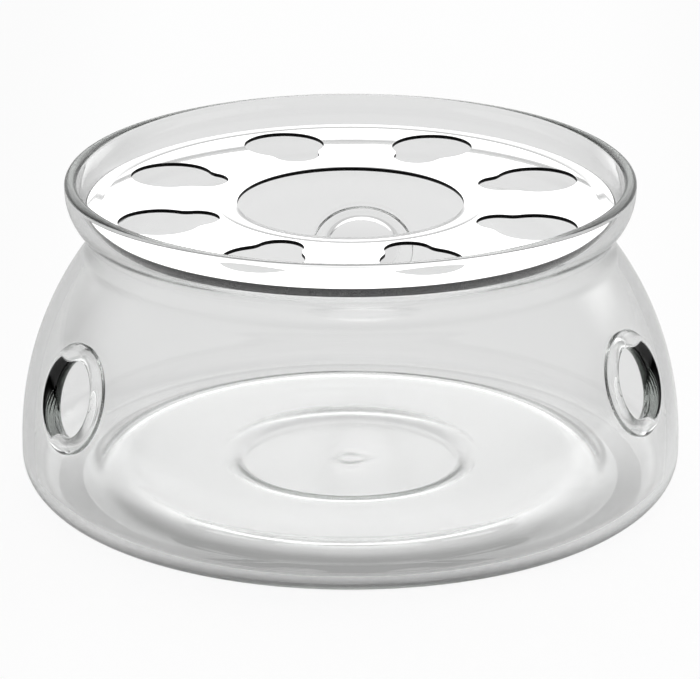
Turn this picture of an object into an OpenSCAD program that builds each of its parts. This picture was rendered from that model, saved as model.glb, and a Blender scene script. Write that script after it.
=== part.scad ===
// Glass teapot warmer: a clear blown body with three air vents and a steel plate that drops into its collar.
// The origin is on the table under the middle of the body, +Z is up and the front looks along -Y.

/* [Glass body] */
// Widest diameter of the body
body_d = 135; // [125:0.5:150]
// Height of the widest place above the table
belly_z = 9.5; // [8:0.1:14]
// Radius of the wall's profile from the widest place up to the neck
shoulder_r = 65.8; // [60:0.1:80]
// Radius of the outside corner at the foot
corner_r = 7.5; // [5:0.1:8]
// Thickness of the glass, the same all over
wall = 2.5; // [1.6:0.1:3]

/* [Collar] */
// Outside diameter of the rim
rim_d = 115.6; // [112:0.1:122]
// How far the rim stands out beyond the neck
rim_flare = 4.3; // [3:0.1:6]
// Profile radius of the hollow at the neck
neck_r = 5.5; // [4:0.1:8]
// Profile radius of the flared collar
collar_r = 11; // [8:0.1:14]
// Upright height between the flare and the round lip
rim_upright = 0.8; // [0.2:0.1:4]

/* [Floor] */
// Width of the flat ring that the body stands on
foot_w = 4.3; // [1:0.1:6]
// Radius of the bends where the floor is pushed up
kick_r = 7; // [4:0.1:9]
// Diameter of the flat of the candle seat
seat_d = 43.6; // [39:0.1:50]
// Depth of the candle seat below the floor
seat_depth = 1.6; // [1:0.1:2.4]
// Radius of the soft bend at the candle seat's upper edge
seat_edge_r = 8; // [4:0.1:10]
// Fillet at the bottom of the candle seat
seat_fillet = 1; // [0.4:0.1:2]
// Gap between the underside of the candle seat and the table
seat_lift = 1.2; // [0.4:0.1:2]

/* [Air vents] */
// Bearing of the back vent, anticlockwise from +X
back_vent_bearing = 87.5; // [75:0.1:105]
// Height of the back vent's middle above the table
back_vent_z = 28.8; // [24:0.1:34]
// Clear diameter of the back vent
back_vent_d = 15.2; // [10:0.1:18]
// Bearing of the left vent
left_vent_bearing = 209.6; // [195:0.1:225]
// Height of the left vent's middle
left_vent_z = 28.3; // [24:0.1:34]
// Clear diameter of the left vent
left_vent_d = 15.2; // [10:0.1:18]
// Bearing of the right vent
right_vent_bearing = 333.8; // [315:0.1:345]
// Height of the right vent's middle
right_vent_z = 30.3; // [24:0.1:34]
// Clear diameter of the right vent
right_vent_d = 14.4; // [10:0.1:18]
// Thickness of the round bead that edges a vent
vent_bead = 3.8; // [3.2:0.1:5]

/* [Steel plate] */
// Thickness of the sheet
sheet = 0.8; // [0.5:0.1:1.5]
// Gap between the plate's edge and the inside of the rim
plate_play = 1.6; // [0.8:0.1:2.1]
// Gap between the plate's edge and the slope that it sits on
seat_gap = 0.1; // [0.05:0.01:0.3]
// Width of the sunk band along the edge
hem_w = 3.7; // [2:0.1:5]
// Depth of the sunk band along the edge
hem_drop = 0.1; // [0.05:0.05:0.4]
// How far the turned-down edge reaches below the sheet
edge_lip = 0.4; // [0.2:0.1:1]
// Radius of the bend at the turned-down edge
edge_bend_r = 0.4; // [0.2:0.1:0.5]
// Diameter of the hole in the middle
centre_hole_d = 45.9; // [40:0.1:50]
// Width of the sunk band round the middle hole
land_w = 4.4; // [2:0.1:5]
// Depth of the sunk band round the middle hole
land_drop = 0.2; // [0.05:0.05:0.4]
// Width of the slope between a sunk band and the plate
land_slope = 0.4; // [0.2:0.1:1]
// Turn of the hole pattern, anticlockwise from +X
plate_turn = 20.1; // [0:0.1:45]

/* [Pear-shaped holes] */
// Number of pear-shaped holes
pear_count = 8; // [4:1:8]
// Radius of a hole's wide end
pear_wide_r = 8.35; // [5:0.05:9]
// Radius of a hole's narrow end
pear_narrow_r = 4.75; // [3:0.05:6]
// Radius of the hollow flanks between the two ends
pear_flank_r = 4; // [3:0.1:10]
// Metal between the wide end and the sunk band along the edge
pear_outer_web = 1; // [0.5:0.1:3]
// Metal between the narrow end and the sunk band round the middle hole
pear_inner_web = 0.8; // [0.4:0.1:3]

/* [Hidden] */
$fn = 120;
arc_steps = 12;
overcut = 1;
glass_colour = [0.86, 0.89, 0.89, 0.45];
steel_colour = [0.86, 0.86, 0.87];

// Profile centres of the body, each tangent to its neighbour, as [radius, height]
corner_c = [body_d / 2 - corner_r, corner_r];
shoulder_c = [body_d / 2 - shoulder_r, belly_z];
neck_x = rim_d / 2 - rim_flare + neck_r;
neck_rise = sqrt(pow(shoulder_r + neck_r, 2) - pow(neck_x - shoulder_c.x, 2));
neck_c = [neck_x, belly_z + neck_rise];
collar_x = rim_d / 2 - collar_r;
collar_rise = sqrt(pow(collar_r + neck_r, 2) - pow(neck_x - collar_x, 2));
collar_c = [collar_x, neck_c.y + collar_rise];
shoulder_turn = atan2(neck_rise, neck_x - shoulder_c.x);
collar_turn = -atan2(collar_rise, neck_x - collar_x);
lip_c = [rim_d / 2 - wall / 2, collar_c.y + rim_upright];

// Floor, pushed up from the foot by the depth of the candle seat and the gap under it
kick_up = seat_lift + seat_depth;
floor_z = kick_up + wall;
kick_span = 2 * kick_r + wall;
kick_turn = acos(1 - kick_up / kick_span);
kick_low_c = [corner_c.x - foot_w, kick_r + wall];
kick_high_c = kick_low_c - kick_span * [sin(kick_turn), cos(kick_turn)];
seat_z = floor_z - seat_depth;
seat_span = seat_edge_r + seat_fillet;
seat_turn = acos(1 - seat_depth / seat_span);
seat_low_c = [seat_d / 2, seat_z + seat_fillet];
seat_high_c = seat_low_c + seat_span * [sin(seat_turn), -cos(seat_turn)];

// Vents as [bearing, height, clear diameter], each square to the middle of the wall
vents = [[back_vent_bearing, back_vent_z, back_vent_d],
         [left_vent_bearing, left_vent_z, left_vent_d],
         [right_vent_bearing, right_vent_z, right_vent_d]];
vent_mid_r = shoulder_r - wall / 2;

// Plate, seated on the inside of the collar where its edge meets the slope
plate_r = rim_d / 2 - wall - plate_play;
flare_end_r = collar_c.x + (collar_r - wall) * cos(collar_turn);
on_flare = plate_r > flare_end_r;
flare_z = collar_c.y - sqrt(max(0, pow(collar_r - wall, 2) - pow(plate_r - collar_c.x, 2)));
throat_z = neck_c.y + sqrt(max(0, pow(neck_r + wall, 2) - pow(neck_c.x - plate_r, 2)));
edge_z = (on_flare ? flare_z : throat_z) + seat_gap;
hem_z = edge_z + edge_lip + sheet;
plate_z = hem_z + hem_drop;
edge_bend_c = [plate_r - edge_bend_r, hem_z - edge_bend_r];
hem_start_r = plate_r - hem_w;
land_r = centre_hole_d / 2 + land_w;
pear_wide_x = hem_start_r - pear_outer_web - pear_wide_r;
pear_narrow_x = land_r + pear_inner_web + pear_narrow_r;

// Points along an arc about a centre, from one angle to another
function arc(centre, radius, from, to) =
    [for (i = [0 : arc_steps])
        let (turn = from + (to - from) * i / arc_steps)
        centre + radius * [cos(turn), sin(turn)]];

function reversed(points) = [for (i = [len(points) - 1 : -1 : 0]) points[i]];

// The wall from the foot to the rim, at a depth into the glass
function wall_profile(depth) = concat(
    arc(corner_c, corner_r - depth, -90, 0),
    arc(shoulder_c, shoulder_r - depth, 0, shoulder_turn),
    arc(neck_c, neck_r + depth, 180 + shoulder_turn, 180 + collar_turn),
    arc(collar_c, collar_r - depth, collar_turn, 0));

// The bend from the pushed-up floor down to the foot, at a height above the underside
function kick_profile(height) = concat(
    arc(kick_high_c, kick_r + height, 90, 90 - kick_turn),
    arc(kick_low_c, kick_r + wall - height, 270 - kick_turn, 270));

// The bend from the candle seat up to the floor, at a depth into the glass
function seat_profile(depth) = concat(
    arc(seat_low_c, seat_fillet + depth, -90, seat_turn - 90),
    arc(seat_high_c, seat_edge_r - depth, 90 + seat_turn, 90));

underside_profile = concat([[0, seat_lift]], seat_profile(wall), kick_profile(0));

floor_profile = concat([[0, seat_z]], seat_profile(0), kick_profile(wall));

body_profile = concat(
    underside_profile,
    wall_profile(0),
    arc(lip_c, wall / 2, 0, 180),
    reversed(wall_profile(wall)),
    reversed(floor_profile));

// Radius of the middle of a vent's bead
function bead_ring_r(vent) = (vent[2] + vent_bead) / 2;

// Carries its children to a vent, with +Z along the vent's axis and the middle of its bead at the origin
module at_vent(vent) {
    tilt = asin((vent[1] - belly_z) / vent_mid_r);
    out = sqrt(pow(vent_mid_r, 2) - pow(bead_ring_r(vent), 2));
    rotate([0, 0, vent[0]])
        translate([shoulder_c.x, 0, shoulder_c.y])
            rotate([0, 90 - tilt, 0])
                translate([0, 0, out])
                    children();
}

// The blown body in one piece: floor with candle seat, wall, neck, collar, and the beads fused round its vents
module glass_body() {
    color(glass_colour)
        union() {
            difference() {
                rotate_extrude()
                    polygon(body_profile);
                for (vent = vents)
                    at_vent(vent)
                        cylinder(r = bead_ring_r(vent), h = 2 * (wall + vent_bead), center = true);
            }
            for (vent = vents)
                at_vent(vent)
                    rotate_extrude()
                        translate([bead_ring_r(vent), 0])
                            circle(d = vent_bead);
        }
}

// Outline of one hole: two round ends joined by hollow flanks, the wide end outwards
module pear() {
    wide_c = [pear_wide_x, 0];
    narrow_c = [pear_narrow_x, 0];
    reach = pear_wide_x - pear_narrow_x;
    wide_span = pear_wide_r + pear_flank_r;
    narrow_span = pear_narrow_r + pear_flank_r;
    flank_x = pear_narrow_x + (pow(narrow_span, 2) - pow(wide_span, 2) + pow(reach, 2)) / (2 * reach);
    flank_c = [flank_x, sqrt(max(0, pow(narrow_span, 2) - pow(flank_x - pear_narrow_x, 2)))];
    wide_touch = wide_c + (flank_c - wide_c) * pear_wide_r / wide_span;
    narrow_touch = narrow_c + (flank_c - narrow_c) * pear_narrow_r / narrow_span;
    translate(wide_c)
        circle(r = pear_wide_r);
    translate(narrow_c)
        circle(r = pear_narrow_r);
    for (side = [0, 1])
        mirror([0, side])
            difference() {
                polygon([narrow_c, wide_c, wide_touch, narrow_touch]);
                translate(flank_c)
                    circle(r = pear_flank_r);
            }
}

// One face of the sheet from the middle hole to the sunk band along the edge, at a depth below the top
function sheet_face(depth) =
    [[centre_hole_d / 2, plate_z - land_drop - depth],
     [land_r - land_slope, plate_z - land_drop - depth],
     [land_r, plate_z - depth],
     [hem_start_r, plate_z - depth],
     [hem_start_r + land_slope, hem_z - depth]];

plate_profile = concat(
    sheet_face(sheet),
    [[plate_r - sheet, hem_z - sheet], [plate_r - sheet, edge_z], [plate_r, edge_z]],
    arc(edge_bend_c, edge_bend_r, 0, 90),
    reversed(sheet_face(0)));

// The pot rest: a round sheet with a turned-down edge, two sunk bands, a middle hole and a ring of pear holes
module steel_plate() {
    color(steel_colour)
        difference() {
            rotate_extrude()
                polygon(plate_profile);
            for (i = [0 : pear_count - 1])
                rotate([0, 0, plate_turn + i * 360 / pear_count])
                    translate([0, 0, plate_z - sheet - land_drop - hem_drop - overcut])
                        linear_extrude(sheet + land_drop + hem_drop + 2 * overcut)
                            pear();
        }
}

glass_body();
steel_plate();
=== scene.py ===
import math

import bmesh
import bpy
import numpy as np
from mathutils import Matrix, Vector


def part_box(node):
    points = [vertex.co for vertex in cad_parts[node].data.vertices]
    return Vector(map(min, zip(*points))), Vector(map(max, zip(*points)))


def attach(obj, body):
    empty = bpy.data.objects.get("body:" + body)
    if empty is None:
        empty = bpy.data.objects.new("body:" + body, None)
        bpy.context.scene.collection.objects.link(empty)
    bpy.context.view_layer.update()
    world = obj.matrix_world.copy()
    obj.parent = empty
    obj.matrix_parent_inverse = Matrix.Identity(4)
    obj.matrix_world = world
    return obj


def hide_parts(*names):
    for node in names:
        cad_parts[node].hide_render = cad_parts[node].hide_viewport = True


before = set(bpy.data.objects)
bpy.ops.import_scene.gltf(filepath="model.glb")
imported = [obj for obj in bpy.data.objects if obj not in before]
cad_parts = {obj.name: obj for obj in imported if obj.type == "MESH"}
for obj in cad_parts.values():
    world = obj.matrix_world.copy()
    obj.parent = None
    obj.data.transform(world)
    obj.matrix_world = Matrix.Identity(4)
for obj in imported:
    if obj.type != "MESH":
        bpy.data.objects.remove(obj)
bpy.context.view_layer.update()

# Sizes of the glass body in metres, as in the part's source
MM = 0.001
WALL = 2.5 * MM
BODY_R = 67.5 * MM
BELLY_Z = 9.5 * MM
SHOULDER_R = 65.8 * MM
CORNER_R = 7.5 * MM
NECK_OUT_R = 53.5 * MM
NECK_R = 5.5 * MM
RIM_R = 57.8 * MM
COLLAR_R = 11 * MM
RIM_UPRIGHT = 0.8 * MM
FOOT_W = 4.3 * MM
KICK_R = 7 * MM
SEAT_R = 21.8 * MM
SEAT_DEPTH = 1.6 * MM
SEAT_EDGE_R = 8 * MM
SEAT_FILLET = 1 * MM
SEAT_LIFT = 1.2 * MM

# Vents as bearing, height and clear radius
VENTS = ((87.5, 28.8 * MM, 7.6 * MM), (209.6, 28.3 * MM, 7.6 * MM), (333.8, 30.3 * MM, 7.2 * MM))
BEAD_R = 1.9 * MM
BEAD_FILLET = 0.5 * MM

# Plate
SHEET = 0.8 * MM
PLATE_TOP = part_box("steel_plate")[1].z
PLATE_R = 53.7 * MM
HEM_W = 3.7 * MM
HEM_DROP = 0.1 * MM
EDGE_LIP = 0.4 * MM
EDGE_BEND_R = 0.4 * MM
CENTRE_HOLE_R = 22.95 * MM
LAND_W = 4.4 * MM
LAND_DROP = 0.2 * MM
LAND_SLOPE = 0.4 * MM
PLATE_TURN = 20.1
PEAR_COUNT = 8
PEAR_WIDE_R = 8.35 * MM
PEAR_NARROW_R = 4.75 * MM
PEAR_FLANK_R = 4 * MM
PEAR_OUTER_WEB = 1 * MM
PEAR_INNER_WEB = 0.8 * MM
EDGE_BREAK = 0.05 * MM

# The foot is pressed this far into the table, so that no air is between them
TABLE_TOP = 0.02 * MM

# Fineness of the meshes
COLUMNS = 360
HUB_R = 2 * MM
ARC_STEP = math.radians(5)
LINE_STEP = 2.5 * MM
VENT_COLUMNS = 40
SHOULDER_ROWS = 32
BLEND_RINGS = 9
PEAR_ROWS = 14
WEB_RINGS = 6
WELD = 1e-7

# The photographed view
PHOTO_W = 700
SENSOR_W = 36.0
FOCAL_PX = 4490.5
CAMERA_PLACE = (-0.0001, -0.8655, 0.3397)
CAMERA_DOWN = 19.715

# Lights in the room, where 1 is white, each turned to the right of straight behind the part
BACKDROP = {"level": 1.9, "turn": 8, "edge": 0.6, "soft": 0.15}
HORIZON_LEVEL = 0.62
HORIZON_FADE = (0.08, 0.3)
WINDOW = {"level": 3.3, "turn": 20, "edge": 0.2, "soft": 0.35}
ROOM_LOW = 0.03
ROOM_HIGH = 0.38
ROOM_FADE = (0.0, 0.25)

# Table: how much of it glows to the camera and to glass, how brightly, and the tone of its paint
TABLE_LOW = (-1.0, -1.0)
TABLE_HIGH = (1.0, 4.0)
TABLE_GLOW = 0.93
TABLE_GLASS_GLOW = 0.32
TABLE_THROUGH_GLASS = 0.8
TABLE_PAINT = 0.72

# Painted light and shade on the table: paler under the floor, darker at the front of the foot,
# further in front and at the sides, and a painted soft shadow behind
UNDER_FLOOR = 1.3
UNDER_CENTRE = (2 * MM, 10 * MM, 0.0)
UNDER_FADE = (43 * MM, 52 * MM)
CONTACT_SHADE = 0.58
CONTACT_CENTRE = (2 * MM, 5 * MM, 0.0)
CONTACT_INSIDE = (44 * MM, 55 * MM)
CONTACT_OUTSIDE = (60 * MM, 66 * MM)
CONTACT_FRONT = (-30 * MM, 20 * MM)
FRONT_LEVEL = 0.2
FRONT_FADE = (0.08, 0.3)
SIDE_LEVEL = 0.65
SIDE_FADE = (0.055, 0.1)
SIDE_CENTRE = 7 * MM
SHADOW_PLACE = (0.0, 0.08, 0.0)
SHADOW_SIZE = (0.07, 0.13, 1.0)
SHADOW_FADE = (0.5, 1.0)
SHADOW_LEVEL = 0.72

# Glass, softer on the floor and in the hollow of the neck, with a swirl in the middle of the floor
GLASS_IOR = 1.47
GLASS_TINT = (0.66, 0.7, 0.67, 1.0)
GLASS_TINT_DENSITY = 22.0
FLOOR_FADE = (44 * MM, 49 * MM)
FLOOR_HEIGHT_FADE = (6 * MM, 8 * MM)
FLOOR_ROUGHNESS = 0.16
NECK_ROUGHNESS = 0.12
NECK_START = (47 * MM, 50 * MM)
NECK_END = (56.5 * MM, 57.5 * MM)
SWIRL_FADE = (1 * MM, 6 * MM)


class Value:
    """A shader socket. Sums, differences and products of values become Math nodes."""

    def __init__(self, finish, socket):
        self.finish = finish
        self.socket = socket

    def math(self, operation, first, second):
        return self.finish.add("ShaderNodeMath", {"operation": operation}, {0: first, 1: second})

    def __add__(self, other):
        return self.math("ADD", self, other)

    def __sub__(self, other):
        return self.math("SUBTRACT", self, other)

    def __rsub__(self, other):
        return self.math("SUBTRACT", other, self)

    def __mul__(self, other):
        return self.math("MULTIPLY", self, other)

    __radd__ = __add__
    __rmul__ = __mul__


class Finish:
    """One node tree, to which nodes are added by type, settings and sockets."""

    def __init__(self, tree):
        self.tree = tree
        tree.nodes.clear()

    def add(self, kind, settings=None, sockets=None, output=0):
        node = self.tree.nodes.new(kind)
        for name, value in (settings or {}).items():
            setattr(node, name, value)
        for name, value in (sockets or {}).items():
            if isinstance(value, Value):
                self.tree.links.new(value.socket, node.inputs[name])
            else:
                node.inputs[name].default_value = value
        return Value(self, node.outputs[output]) if len(node.outputs) else node


def new_finish(name):
    material = bpy.data.materials.new(name)
    material.use_nodes = True
    return material, Finish(material.node_tree)


class Skin:
    """Patches of faces that share their borders and are welded into one closed mesh."""

    def __init__(self):
        self.points = []
        self.faces = []
        self.slots = []
        self.smooth = []

    def take(self, points):
        first = sum(len(p) for p in self.points)
        self.points.append(points)
        return first

    def keep(self, faces, slot, smooth):
        self.faces += faces
        self.slots += [slot] * len(faces)
        self.smooth += [smooth] * len(faces)

    def grid(self, rows, closed=False, slot=0, smooth=True):
        """Quads between rows of points; closed joins each row's end to its start."""
        rows = np.asarray(rows)
        count, across = rows.shape[:2]
        first = self.take(rows.reshape(-1, 3))
        columns = across if closed else across - 1
        faces = []
        for i in range(count - 1):
            low, high = first + i * across, first + (i + 1) * across
            for j in range(columns):
                k = (j + 1) % across
                faces.append((low + j, low + k, high + k, high + j))
        self.keep(faces, slot, smooth)

    def cap(self, row, centre, slot=0, smooth=True):
        """Triangles from a closed row of points to a centre."""
        first = self.take(np.vstack([row, [centre]]))
        count = len(row)
        faces = [(first + j, first + (j + 1) % count, first + count) for j in range(count)]
        self.keep(faces, slot, smooth)

    def build(self, name, materials):
        mesh = bpy.data.meshes.new(name)
        mesh.from_pydata(np.vstack(self.points).tolist(), [], self.faces)
        mesh.polygons.foreach_set("material_index", self.slots)
        mesh.polygons.foreach_set("use_smooth", self.smooth)
        for material in materials:
            mesh.materials.append(material)
        shape = bmesh.new()
        shape.from_mesh(mesh)
        bmesh.ops.remove_doubles(shape, verts=shape.verts, dist=WELD)
        bmesh.ops.recalc_face_normals(shape, faces=shape.faces)
        shape.to_mesh(mesh)
        shape.free()
        piece = bpy.data.objects.new(name, mesh)
        bpy.context.scene.collection.objects.link(piece)
        return piece


def arc(centre, radius, start, end):
    """Points [radius, height] along an arc of a profile, between two angles in degrees."""
    turn = math.radians(end - start)
    count = max(4, math.ceil(abs(turn) / ARC_STEP))
    angles = math.radians(start) + turn * np.arange(count + 1) / count
    return np.asarray(centre) + radius * np.column_stack([np.cos(angles), np.sin(angles)])


def profile(*stretches):
    """One row of profile points from arcs and points, with long straight gaps divided."""
    points = np.vstack([np.atleast_2d(s) for s in stretches])
    row = [points[0]]
    for point in points[1:]:
        gap = np.linalg.norm(point - row[-1])
        if gap < WELD:
            continue
        count = max(1, math.ceil(gap / LINE_STEP))
        start = row[-1]
        row += [start + (point - start) * i / count for i in range(1, count + 1)]
    return np.array(row)


def turned(row, first_bearing=0.0):
    """Rows of points made by turning a profile about the upright axis."""
    bearings = np.radians(first_bearing + np.arange(COLUMNS) * 360 / COLUMNS)
    radius, height = row[:, 0, None], row[:, 1, None]
    across = radius * np.cos(bearings)
    along = radius * np.sin(bearings)
    return np.stack(np.broadcast_arrays(across, along, height), axis=2)


# Profile centres of the body, each tangent to the next
corner_c = np.array([BODY_R - CORNER_R, CORNER_R])
shoulder_c = np.array([BODY_R - SHOULDER_R, BELLY_Z])
neck_x = NECK_OUT_R + NECK_R
neck_rise = math.sqrt((SHOULDER_R + NECK_R) ** 2 - (neck_x - shoulder_c[0]) ** 2)
neck_c = np.array([neck_x, BELLY_Z + neck_rise])
collar_x = RIM_R - COLLAR_R
collar_rise = math.sqrt((COLLAR_R + NECK_R) ** 2 - (neck_x - collar_x) ** 2)
collar_c = np.array([collar_x, neck_c[1] + collar_rise])
shoulder_turn = math.degrees(math.atan2(neck_rise, neck_x - shoulder_c[0]))
collar_turn = -math.degrees(math.atan2(collar_rise, neck_x - collar_x))
lip_c = np.array([RIM_R - WALL / 2, collar_c[1] + RIM_UPRIGHT])

# Floor
kick_up = SEAT_LIFT + SEAT_DEPTH
floor_z = kick_up + WALL
kick_span = 2 * KICK_R + WALL
kick_turn = math.degrees(math.acos(1 - kick_up / kick_span))
kick_low_c = np.array([corner_c[0] - FOOT_W, KICK_R + WALL])
kick_lean = math.radians(kick_turn)
kick_high_c = kick_low_c - kick_span * np.array([math.sin(kick_lean), math.cos(kick_lean)])
seat_z = floor_z - SEAT_DEPTH
seat_span = SEAT_EDGE_R + SEAT_FILLET
seat_turn = math.degrees(math.acos(1 - SEAT_DEPTH / seat_span))
seat_low_c = np.array([SEAT_R, seat_z + SEAT_FILLET])
seat_lean = math.radians(seat_turn)
seat_high_c = seat_low_c + seat_span * np.array([math.sin(seat_lean), -math.cos(seat_lean)])


def kick_profile(height):
    """The bend from the pushed-up floor down to the foot, at a height above the underside."""
    return np.vstack([
        arc(kick_high_c, KICK_R + height, 90, 90 - kick_turn),
        arc(kick_low_c, KICK_R + WALL - height, 270 - kick_turn, 270),
    ])


def upper_wall(depth):
    """Neck and collar, at a depth into the glass."""
    return np.vstack([
        arc(neck_c, NECK_R + depth, 180 + shoulder_turn, 180 + collar_turn),
        arc(collar_c, COLLAR_R - depth, collar_turn, 0),
    ])


def seat_profile(depth):
    """The bend from the candle seat up to the floor, at a depth into the glass."""
    return np.vstack([
        arc(seat_low_c, SEAT_FILLET + depth, -90, seat_turn - 90),
        arc(seat_high_c, SEAT_EDGE_R - depth, 90 + seat_turn, 90),
    ])


def wall_points(bearing, rise, radius):
    """Points of the shoulder at a bearing, an angle above the belly and a profile radius."""
    out = shoulder_c[0] + radius * np.cos(rise)
    up = shoulder_c[1] + radius * np.sin(rise)
    return np.stack(np.broadcast_arrays(out * np.cos(bearing), out * np.sin(bearing), up), axis=-1)


def vent_ring(distance, directions, rise):
    """Bearings and rises of a circle round the axis of a vent that is at bearing 0."""
    mid_r = SHOULDER_R - WALL / 2
    away = math.asin(distance / mid_r)
    out = math.cos(away)
    side = math.sin(away) * np.cos(directions)
    up = math.sin(away) * np.sin(directions)
    x = shoulder_c[0] + mid_r * (out * math.cos(rise) - up * math.sin(rise))
    y = mid_r * side
    z = mid_r * (out * math.sin(rise) + up * math.cos(rise))
    return np.arctan2(y, x), np.arctan2(z, np.hypot(x, y) - shoulder_c[0])


def ring_about(low, high, across, up):
    """Points round a rectangle, once, as pairs, with so many steps across and up."""
    xs = np.linspace(low[0], high[0], across + 1)
    ys = np.linspace(low[1], high[1], up + 1)
    return np.array(
        [(x, low[1]) for x in xs[:-1]] + [(high[0], y) for y in ys[:-1]]
        + [(x, high[1]) for x in xs[:0:-1]] + [(low[0], y) for y in ys[:0:-1]])


def bead_section():
    """Offsets and heights from the wall's outside over a bead to the middle of its throat."""
    fillet_h = WALL / 2 + BEAD_FILLET
    reach = math.sqrt((BEAD_R + BEAD_FILLET) ** 2 - fillet_h ** 2)
    meet = math.degrees(math.atan2(fillet_h, reach))
    return np.vstack([
        arc((reach, fillet_h), BEAD_FILLET, 270, 180 + meet),
        arc((0, 0), BEAD_R, meet, 180)[1:],
    ])


def add_vent(skin, bearing, height, clear_r):
    """One vent: the wall round it outside, over its bead and through, to the wall round it inside."""
    patch = round(bearing)
    shift = math.radians(bearing - patch)
    half = math.radians(VENT_COLUMNS / 2 * 360 / COLUMNS)
    top = math.radians(shoulder_turn)
    mid_r = SHOULDER_R - WALL / 2
    rise = math.asin((height - BELLY_Z) / mid_r)
    border = ring_about((-half, 0), (half, top), VENT_COLUMNS, SHOULDER_ROWS)
    out_r = shoulder_c[0] + SHOULDER_R * math.cos(rise)
    directions = np.arctan2((border[:, 1] - rise) * SHOULDER_R, (border[:, 0] - shift) * out_r)
    section = bead_section()

    def ring(offset):
        around, up = vent_ring(clear_r + BEAD_R + offset, directions, rise)
        return np.column_stack([around + shift, up])

    edge = ring(section[0, 0])
    outside = [(border + (edge - border) * i / BLEND_RINGS, WALL / 2) for i in range(BLEND_RINGS + 1)]
    outside += [(ring(offset), lift) for offset, lift in section[1:]]
    inside = [(place, -lift) for place, lift in reversed(outside[:-1])]
    turn = math.radians(patch)
    rows = [
        wall_points(place[:, 0] + turn, place[:, 1], mid_r + lift)
        for place, lift in outside + inside]
    skin.grid(rows, closed=True)


def make_glass(material):
    skin = Skin()
    below = profile(
        [HUB_R, SEAT_LIFT], seat_profile(WALL), kick_profile(0), arc(corner_c, CORNER_R, -90, 0),
        [BODY_R, BELLY_Z])
    above = profile(upper_wall(0), arc(lip_c, WALL / 2, 0, 180), upper_wall(WALL)[::-1])
    inside = profile(
        [BODY_R - WALL, BELLY_Z], arc(corner_c, CORNER_R - WALL, 0, -90), kick_profile(WALL)[::-1],
        seat_profile(0)[::-1], [HUB_R, seat_z])
    for row in (below, above, inside):
        skin.grid(turned(row), closed=True)
    skin.cap(turned(below)[0], (0, 0, SEAT_LIFT))
    skin.cap(turned(inside)[-1], (0, 0, seat_z))
    rises = np.linspace(0, math.radians(shoulder_turn), SHOULDER_ROWS + 1)
    step = 360 / COLUMNS
    for i, vent in enumerate(VENTS):
        add_vent(skin, *vent)
        start = round(vent[0]) + VENT_COLUMNS / 2 * step
        end = round(VENTS[(i + 1) % len(VENTS)][0]) - VENT_COLUMNS / 2 * step
        count = round(((end - start) % 360) / step)
        bearings = np.radians(start + step * np.arange(count + 1))
        for radius in (SHOULDER_R, SHOULDER_R - WALL):
            skin.grid(wall_points(bearings[None, :], rises[:, None], radius))
    return skin.build("blown_glass_body", [material])


def pear_outline():
    """Points [x, y] round one hole, with +X outwards: two round ends joined by hollow flanks."""
    wide_x = PLATE_R - HEM_W - PEAR_OUTER_WEB - PEAR_WIDE_R
    narrow_x = CENTRE_HOLE_R + LAND_W + PEAR_INNER_WEB + PEAR_NARROW_R
    reach = wide_x - narrow_x
    wide_span, narrow_span = PEAR_WIDE_R + PEAR_FLANK_R, PEAR_NARROW_R + PEAR_FLANK_R
    flank_x = narrow_x + (narrow_span ** 2 - wide_span ** 2 + reach ** 2) / (2 * reach)
    flank_y = math.sqrt(narrow_span ** 2 - (flank_x - narrow_x) ** 2)
    wide_touch = math.degrees(math.atan2(flank_y, flank_x - wide_x))
    narrow_touch = math.degrees(math.atan2(flank_y, flank_x - narrow_x))
    upper = np.vstack([
        arc((wide_x, 0), PEAR_WIDE_R, 0, wide_touch),
        arc((flank_x, flank_y), PEAR_FLANK_R, wide_touch - 180, narrow_touch - 180),
        arc((narrow_x, 0), PEAR_NARROW_R, narrow_touch, 180),
    ])
    return np.vstack([upper, (upper * [1, -1])[-2:0:-1]]), (wide_x + narrow_x) / 2


def add_pear_sector(skin, bearing):
    """The share of the plate round one hole: top, broken edge, cut wall and underside."""
    land_r, hem_r = CENTRE_HOLE_R + LAND_W, PLATE_R - HEM_W
    half = 180 / PEAR_COUNT
    border = ring_about((land_r, -half), (hem_r, half), PEAR_ROWS, COLUMNS // PEAR_COUNT)
    out, lean = border[:, 0], np.radians(border[:, 1])
    flat = np.column_stack([out * np.cos(lean), out * np.sin(lean)])
    outline, middle = pear_outline()
    around = np.arctan2(outline[:, 1], outline[:, 0] - middle)
    order = np.argsort(around)
    spread = np.hypot(outline[:, 0] - middle, outline[:, 1])
    directions = np.arctan2(flat[:, 1], flat[:, 0] - middle)
    hole_r = np.interp(directions, around[order], spread[order], period=2 * math.pi)
    pointing = np.column_stack([np.cos(directions), np.sin(directions)])
    edge = np.array([middle, 0]) + pointing * hole_r[:, None]
    shoulder = edge + pointing * EDGE_BREAK
    turn = math.radians(bearing)

    def row(points, z):
        x = points[:, 0] * math.cos(turn) - points[:, 1] * math.sin(turn)
        y = points[:, 0] * math.sin(turn) + points[:, 1] * math.cos(turn)
        return np.column_stack([x, y, np.full(len(points), z)])

    top, under = PLATE_TOP, PLATE_TOP - SHEET
    shares = np.linspace(0, 1, WEB_RINGS + 1)
    skin.grid([row(flat + (shoulder - flat) * s, top) for s in shares], closed=True, smooth=False)
    skin.grid([row(shoulder, top), row(edge, top - EDGE_BREAK)], closed=True)
    skin.grid([row(edge, top - EDGE_BREAK), row(edge, under + EDGE_BREAK)], closed=True, slot=1)
    skin.grid([row(edge, under + EDGE_BREAK), row(shoulder, under)], closed=True)
    skin.grid([row(shoulder + (flat - shoulder) * s, under) for s in shares], closed=True, smooth=False)


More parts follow.
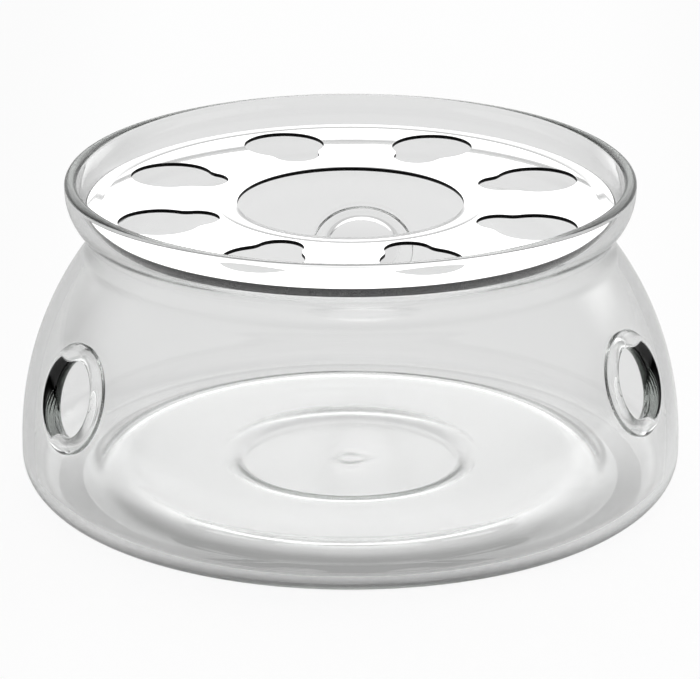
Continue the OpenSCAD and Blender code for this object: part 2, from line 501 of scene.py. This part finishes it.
def make_plate(materials):
    skin = Skin()
    for i in range(PEAR_COUNT):
        add_pear_sector(skin, PLATE_TURN + i * 360 / PEAR_COUNT)
    first = PLATE_TURN - 180 / PEAR_COUNT
    top, under = PLATE_TOP, PLATE_TOP - SHEET
    hem_r = PLATE_R - HEM_W
    hem_z = top - HEM_DROP
    lip_z = hem_z - SHEET - EDGE_LIP
    hem_top = profile([hem_r, top], [hem_r + LAND_SLOPE, hem_z], [PLATE_R - EDGE_BEND_R, hem_z])
    bend = arc((PLATE_R - EDGE_BEND_R, hem_z - EDGE_BEND_R), EDGE_BEND_R, 90, 0)
    rim = profile(bend[-1], [PLATE_R, lip_z + EDGE_BREAK], [PLATE_R - EDGE_BREAK, lip_z],
                  [PLATE_R - SHEET + EDGE_BREAK, lip_z])
    inner_r = PLATE_R - SHEET
    hem_under = profile(
        [inner_r + EDGE_BREAK, lip_z], [inner_r, lip_z + EDGE_BREAK], [inner_r, hem_z - SHEET],
        [hem_r + LAND_SLOPE, hem_z - SHEET], [hem_r, under])
    land_r = CENTRE_HOLE_R + LAND_W
    land_top = profile([land_r, top], [land_r - LAND_SLOPE, top - LAND_DROP],
                       [CENTRE_HOLE_R + EDGE_BREAK, top - LAND_DROP])
    land_under = land_top - [0, SHEET]
    hole_top = [CENTRE_HOLE_R, top - LAND_DROP - EDGE_BREAK]
    hole_under = [CENTRE_HOLE_R, under - LAND_DROP + EDGE_BREAK]
    for stretch, slot in (
        (hem_top, 0), (bend, 2), (rim, 2), (hem_under, 0), (land_top, 0), ([land_top[-1], hole_top], 0),
        ([hole_top, hole_under], 1), ([hole_under, land_under[-1]], 0), (land_under, 0),
    ):
        skin.grid(turned(np.asarray(stretch), first), closed=True, slot=slot)
    return skin.build("polished_pot_rest", materials)


def ramp(finish, value, start, end, low, high):
    """One level below the start, another above the end and a smooth change between them."""
    return finish.add("ShaderNodeMapRange", {"interpolation_type": "SMOOTHSTEP"}, {
        "Value": value, "From Min": start, "From Max": end, "To Min": low, "To Max": high})


def fade(finish, value, start, end):
    """1 below the start, 0 above the end and a smooth change between them."""
    return ramp(finish, value, start, end, 1.0, 0.0)


def clear_glass():
    """Clear glass with a slight waviness, a softer floor and a swirl where the floor was closed."""
    material, finish = new_finish("clear_glass")
    place = finish.add("ShaderNodeTexCoord", output="Object")
    flat = finish.add("ShaderNodeVectorMath", {"operation": "MULTIPLY"}, {0: place, 1: (1.0, 1.0, 0.0)})
    reach = finish.add("ShaderNodeVectorMath", {"operation": "LENGTH"}, {0: flat}, "Value")
    height = finish.add("ShaderNodeSeparateXYZ", {}, {"Vector": place}, "Z")
    on_floor = fade(finish, reach, *FLOOR_FADE) * fade(finish, height, *FLOOR_HEIGHT_FADE)
    at_neck = (1 - fade(finish, height, *NECK_START)) * fade(finish, height, *NECK_END)
    ripple = finish.add("ShaderNodeTexNoise", {}, {"Vector": place, "Scale": 45.0, "Detail": 1.0}, "Fac")
    waviness = finish.add("ShaderNodeBump", {}, {"Strength": 0.02, "Distance": 0.002, "Height": ripple})
    rings = finish.add("ShaderNodeTexWave", {"wave_type": "RINGS", "rings_direction": "Z"}, {
        "Vector": flat, "Scale": 55.0, "Distortion": 3.0, "Detail": 1.0, "Detail Scale": 1.5}, "Fac")
    mark = fade(finish, reach, *SWIRL_FADE) * on_floor
    marked = finish.add("ShaderNodeBump", {}, {
        "Strength": 0.2, "Distance": 0.0006, "Height": rings * mark, "Normal": waviness})
    softness = on_floor * FLOOR_ROUGHNESS + at_neck * NECK_ROUGHNESS
    surface = finish.add("ShaderNodeBsdfPrincipled", {}, {
        "Base Color": (1.0, 1.0, 1.0, 1.0), "Roughness": softness, "IOR": GLASS_IOR,
        "Transmission Weight": 1.0, "Normal": marked})
    tint = finish.add("ShaderNodeVolumeAbsorption", {}, {
        "Color": GLASS_TINT, "Density": GLASS_TINT_DENSITY})
    finish.add("ShaderNodeOutputMaterial", {}, {"Surface": surface, "Volume": tint})
    return material


def polished_steel():
    """A mirror with a fine haze."""
    material, finish = new_finish("polished_steel")
    place = finish.add("ShaderNodeTexCoord", output="Object")
    haze = finish.add("ShaderNodeTexNoise", {}, {"Vector": place, "Scale": 160.0, "Detail": 4.0}, "Fac")
    surface = finish.add("ShaderNodeBsdfPrincipled", {}, {
        "Base Color": (0.88, 0.88, 0.88, 1.0), "Metallic": 1.0, "Roughness": haze * 0.06 + 0.03})
    finish.add("ShaderNodeOutputMaterial", {}, {"Surface": surface})
    return material


def cut_edge_painted_dark():
    """The cut wall of a hole, painted near black as painted shade."""
    material, finish = new_finish("cut_edge_painted_dark")
    place = finish.add("ShaderNodeTexCoord", output="Object")
    grain = finish.add("ShaderNodeTexNoise", {}, {"Vector": place, "Scale": 900.0, "Detail": 2.0}, "Fac")
    surface = finish.add("ShaderNodeBsdfPrincipled", {}, {
        "Base Color": (0.006, 0.006, 0.006, 1.0), "Metallic": 0.0, "Specular IOR Level": 0.1,
        "Roughness": grain * 0.2 + 0.4})
    finish.add("ShaderNodeOutputMaterial", {}, {"Surface": surface})
    return material


def rim_painted_dark():
    """The turned-down edge, rougher than the plate's face, its metal painted near black as a painted
    dark reflection.
    """
    material, finish = new_finish("rim_painted_dark")
    place = finish.add("ShaderNodeTexCoord", output="Object")
    grain = finish.add("ShaderNodeTexNoise", {}, {"Vector": place, "Scale": 700.0, "Detail": 3.0}, "Fac")
    surface = finish.add("ShaderNodeBsdfPrincipled", {}, {
        "Base Color": (0.05, 0.05, 0.05, 1.0), "Metallic": 1.0, "Roughness": grain * 0.2 + 0.15})
    finish.add("ShaderNodeOutputMaterial", {}, {"Surface": surface})
    return material


def make_camera():
    data = bpy.data.cameras.new("camera")
    data.sensor_fit = "HORIZONTAL"
    data.sensor_width = SENSOR_W
    data.lens = FOCAL_PX * SENSOR_W / PHOTO_W
    camera = bpy.data.objects.new("camera", data)
    camera.location = CAMERA_PLACE
    camera.rotation_euler = (math.radians(90 - CAMERA_DOWN), 0, 0)
    bpy.context.scene.collection.objects.link(camera)
    bpy.context.scene.camera = camera


def pale_table():
    """A table top that shows white to the camera and pale grey through glass, with painted shade at the
    front of the foot, further in front and at the sides, painted light under the floor and a painted
    soft shadow behind the part; its paint also takes real shadow faintly.
    """
    material, finish = new_finish("pale_table")
    to_camera = finish.add("ShaderNodeLightPath", output="Is Camera Ray")
    through = finish.add("ShaderNodeLightPath", output="Is Transmission Ray")
    glossy = finish.add("ShaderNodeLightPath", output="Is Glossy Ray")
    place = finish.add("ShaderNodeTexCoord", output="Object")
    reach = finish.add("ShaderNodeVectorMath", {"operation": "LENGTH"}, {0: place}, "Value")
    inner_reach = finish.add("ShaderNodeVectorMath", {"operation": "DISTANCE"}, {
        0: place, 1: CONTACT_CENTRE}, "Value")
    under_reach = finish.add("ShaderNodeVectorMath", {"operation": "DISTANCE"}, {
        0: place, 1: UNDER_CENTRE}, "Value")
    forward = finish.add("ShaderNodeSeparateXYZ", {}, {"Vector": place}, "Y") * -1
    across = finish.add("ShaderNodeSeparateXYZ", {}, {"Vector": place}, "X") - SIDE_CENTRE
    sideways = finish.add("ShaderNodeMath", {"operation": "ABSOLUTE"}, {0: across})
    # Painted contact shadow: a darker ring on the table round the front of the foot
    ring = (1 - fade(finish, inner_reach, *CONTACT_INSIDE)) * fade(finish, reach, *CONTACT_OUTSIDE)
    painted_contact_shade = ring * (1 - fade(finish, forward, *CONTACT_FRONT))
    # Painted shade: the table darker further in front and towards the sides
    painted_front_light = fade(finish, forward, *FRONT_FADE) * (1 - FRONT_LEVEL) + FRONT_LEVEL
    painted_side_light = fade(finish, sideways, *SIDE_FADE) * (1 - SIDE_LEVEL) + SIDE_LEVEL
    painted_light_level = (1 - painted_contact_shade * CONTACT_SHADE) * painted_front_light * painted_side_light
    # The painted light and shade darken the paint's colour
    tone = painted_light_level * TABLE_PAINT
    colour = finish.add("ShaderNodeCombineColor", {}, {"Red": tone, "Green": tone, "Blue": tone})
    paint = finish.add("ShaderNodeBsdfDiffuse", {}, {"Color": colour})
    # Painted soft shadow behind the part: the table's white glow to the camera is dimmed there
    behind = finish.add("ShaderNodeVectorMath", {"operation": "SUBTRACT"}, {0: place, 1: SHADOW_PLACE})
    shape = finish.add("ShaderNodeVectorMath", {"operation": "DIVIDE"}, {0: behind, 1: SHADOW_SIZE})
    shadow_reach = finish.add("ShaderNodeVectorMath", {"operation": "LENGTH"}, {0: shape}, "Value")
    level = to_camera + (1 - to_camera) * TABLE_THROUGH_GLASS
    white = finish.add("ShaderNodeEmission", {}, {"Color": (1.0, 1.0, 1.0, 1.0), "Strength": level})
    painted_shadow_glow = finish.add("ShaderNodeEmission", {}, {
        "Color": (1.0, 1.0, 1.0, 1.0), "Strength": SHADOW_LEVEL})
    painted_shadow = to_camera * fade(finish, shadow_reach, *SHADOW_FADE)
    glow = finish.add("ShaderNodeMixShader", {}, {0: painted_shadow, 1: white, 2: painted_shadow_glow})
    # Painted light: under the floor the table glows brighter to glass, and the painted shade dims that
    # glow
    painted_light_under_floor = fade(finish, under_reach, *UNDER_FADE) * (UNDER_FLOOR - 1) + 1
    by_glass = (through + glossy) * painted_light_level * painted_light_under_floor
    share = to_camera * TABLE_GLOW + by_glass * TABLE_GLASS_GLOW
    surface = finish.add("ShaderNodeMixShader", {}, {0: share, 1: paint, 2: glow})
    finish.add("ShaderNodeOutputMaterial", {}, {"Surface": surface})
    return material


def make_table():
    (left, front), (right, back) = TABLE_LOW, TABLE_HIGH
    mesh = bpy.data.meshes.new("table_top")
    corners = [(left, front), (right, front), (right, back), (left, back)]
    mesh.from_pydata([(x, y, TABLE_TOP) for x, y in corners], [], [(0, 1, 2, 3)])
    mesh.materials.append(pale_table())
    table = bpy.data.objects.new("table_top", mesh)
    bpy.context.scene.collection.objects.link(table)


def make_world():
    """A dark room with a backdrop that glass and metal show and a wide window that lights the table."""
    world = bpy.data.worlds.new("studio")
    world.use_nodes = True
    bpy.context.scene.world = world
    finish = Finish(world.node_tree)
    direction = finish.add("ShaderNodeTexCoord", output="Generated")

    height = finish.add("ShaderNodeSeparateXYZ", {}, {"Vector": direction}, "Z")
    room = ramp(finish, height, *ROOM_FADE, ROOM_LOW, ROOM_HIGH)
    horizon = ramp(finish, height, *HORIZON_FADE, HORIZON_LEVEL / BACKDROP["level"], 1.0)

    def light_behind(level, turn, edge, soft):
        bearing = math.radians(turn)
        behind = finish.add("ShaderNodeVectorMath", {"operation": "DOT_PRODUCT"}, {
            0: direction, 1: (math.sin(bearing), math.cos(bearing), 0.0)}, "Value")
        return ramp(finish, behind, edge - soft, edge + soft, room, level)

    to_camera = finish.add("ShaderNodeLightPath", output="Is Camera Ray")
    paint_bounces = finish.add("ShaderNodeLightPath", output="Diffuse Depth")
    on_paint = finish.add("ShaderNodeMath", {"operation": "MINIMUM"}, {0: paint_bounces, 1: 1.0})
    light = (1 - on_paint) * light_behind(**BACKDROP) * horizon + on_paint * light_behind(**WINDOW)
    background = finish.add("ShaderNodeBackground", {}, {
        "Color": (1.0, 1.0, 1.0, 1.0), "Strength": to_camera + (1 - to_camera) * light})
    finish.add("ShaderNodeOutputWorld", {}, {"Surface": background})


make_camera()
make_world()
make_table()

glass = make_glass(clear_glass())
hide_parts("glass_body")
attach(glass, "glass")

plate = make_plate([polished_steel(), cut_edge_painted_dark(), rim_painted_dark()])
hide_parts("steel_plate")
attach(plate, "plate")

scene = bpy.context.scene
scene.view_settings.view_transform = "Standard"
scene.cycles.max_bounces = 32
scene.cycles.transmission_bounces = 32
scene.cycles.glossy_bounces = 16
